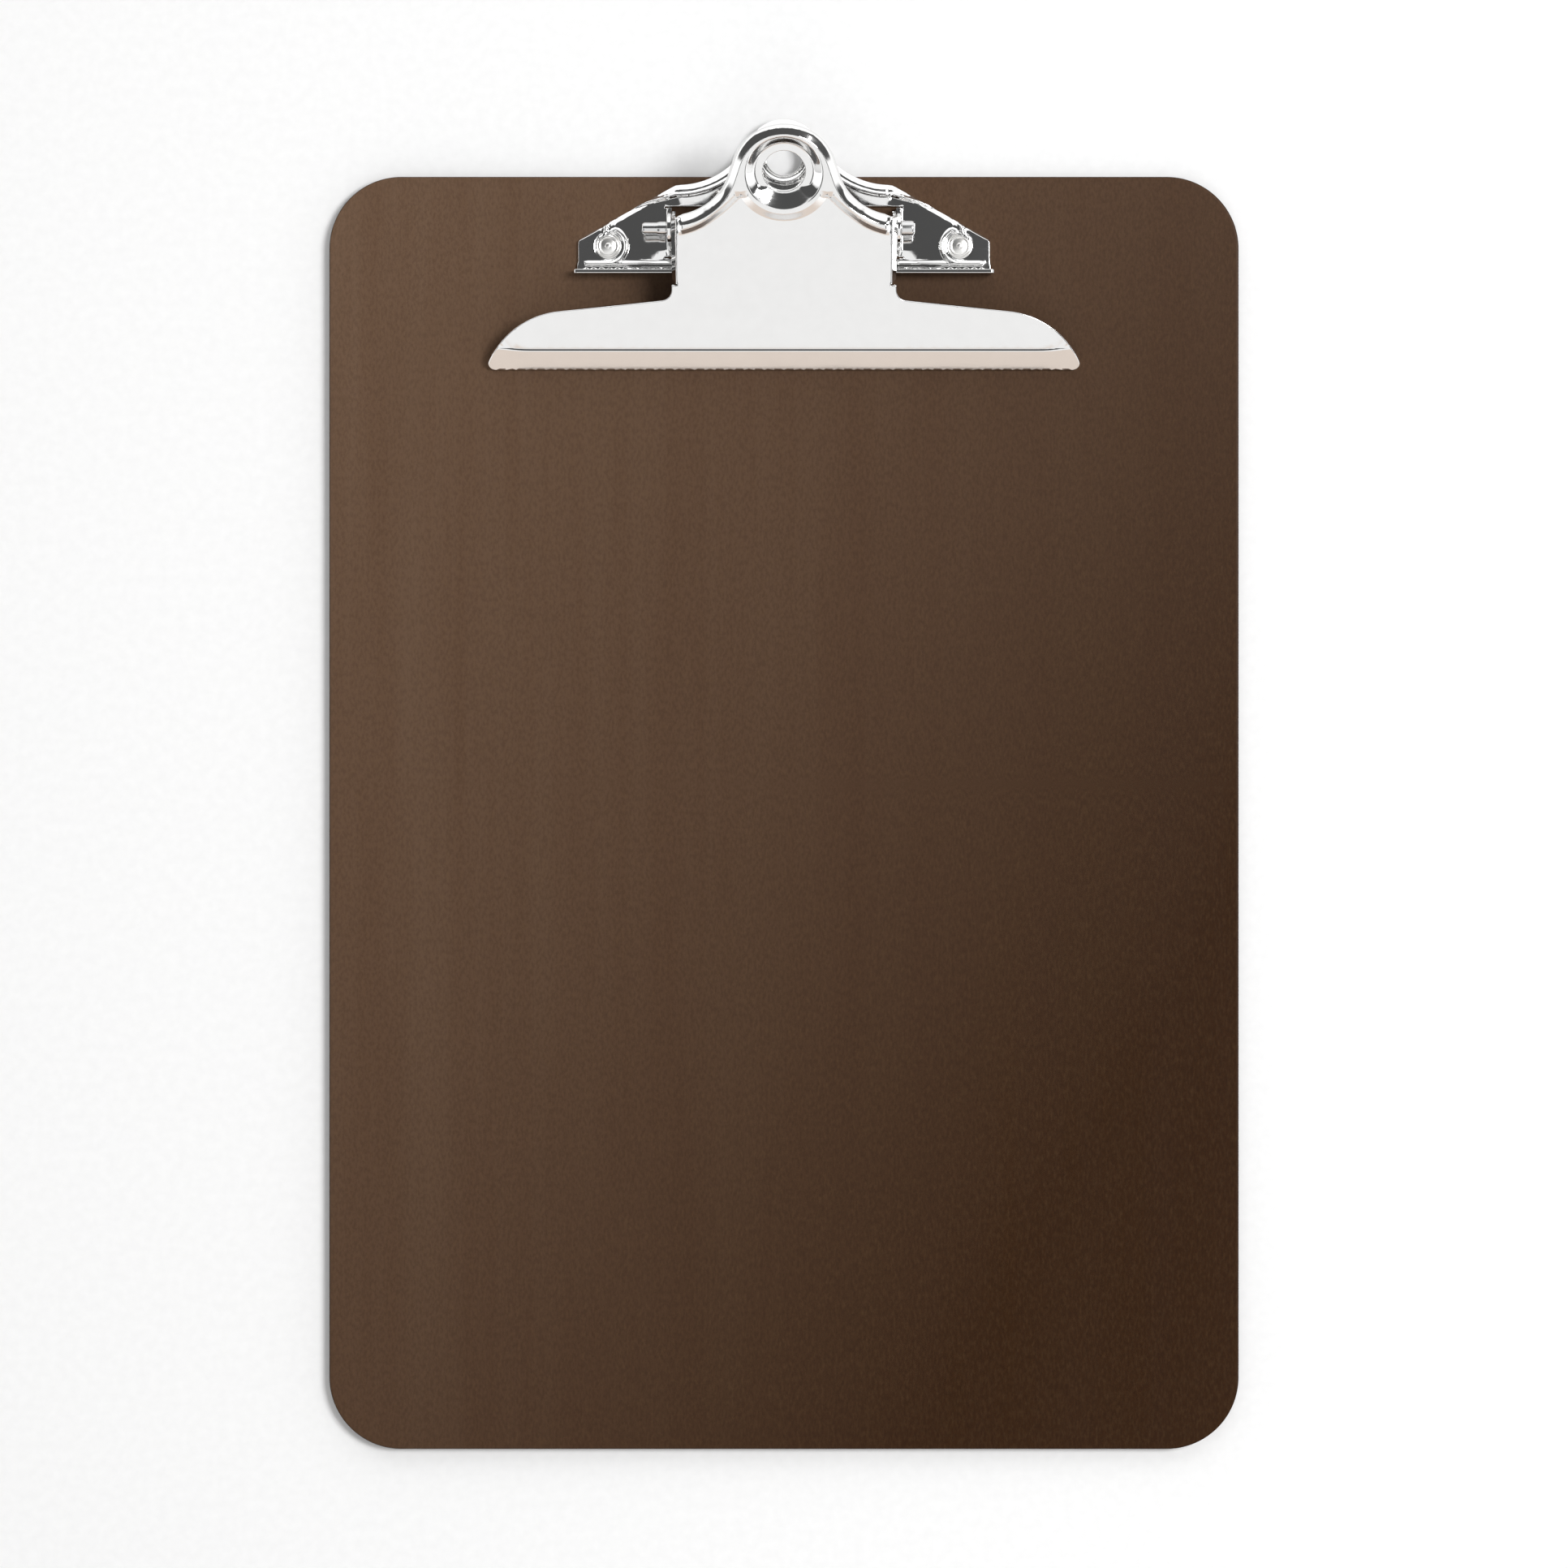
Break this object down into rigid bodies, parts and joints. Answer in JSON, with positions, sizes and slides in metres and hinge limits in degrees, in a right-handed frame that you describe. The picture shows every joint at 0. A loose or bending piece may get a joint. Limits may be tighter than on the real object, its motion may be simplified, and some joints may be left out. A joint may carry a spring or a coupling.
{
  "type": "clipboard",
  "caption": "Flat hardboard writing board with a riveted, spring-loaded steel lever clip that holds paper at the top edge and has a loop to hang it by.",
  "frame": {"origin": "middle of the underside of the whole object: the middle of its width and of its length, hanging loop included, on the back face of the board", "axes": "+X to the right, +Y along the board towards the clip, +Z out of the writing face"},
  "size_m": [0.228, 0.3334, 0.0353],
  "materials": {
    "hardboard": "dark brown pressed hardboard, smooth and slightly sheened, with faint streaks along its length",
    "base_chrome": "bright nickel-chrome plate on pressed sheet steel",
    "lever_chrome": "bright nickel-chrome plate on pressed sheet steel, with light rub marks",
    "pin_steel": "plated steel pin with staked ends",
    "spring_steel": "drawn spring wire, oiled",
    "rivet_steel": "nickel-plated tubular rivet with a rolled end"
  },
  "bodies": {
    "board_assembly": {"board": "hardboard", "clip_base": "base_chrome", "pivot_pin": "pin_steel", "torsion_spring": "spring_steel", "rivet_left": "rivet_steel", "rivet_right": "rivet_steel"},
    "lever": {"clip_lever": "lever_chrome"}
  },
  "joints": [
    {"name": "lever_pivot", "type": "hinge", "parent": "board_assembly", "child": "lever", "pos_m": [0, 0.1382, 0.0127], "axis": [-1, 0, 0], "range_deg": [0, 45], "stiffness_Nm_per_rad": 0.35, "springref_deg": -60.16, "deforming": ["torsion_spring"]}
  ]
}
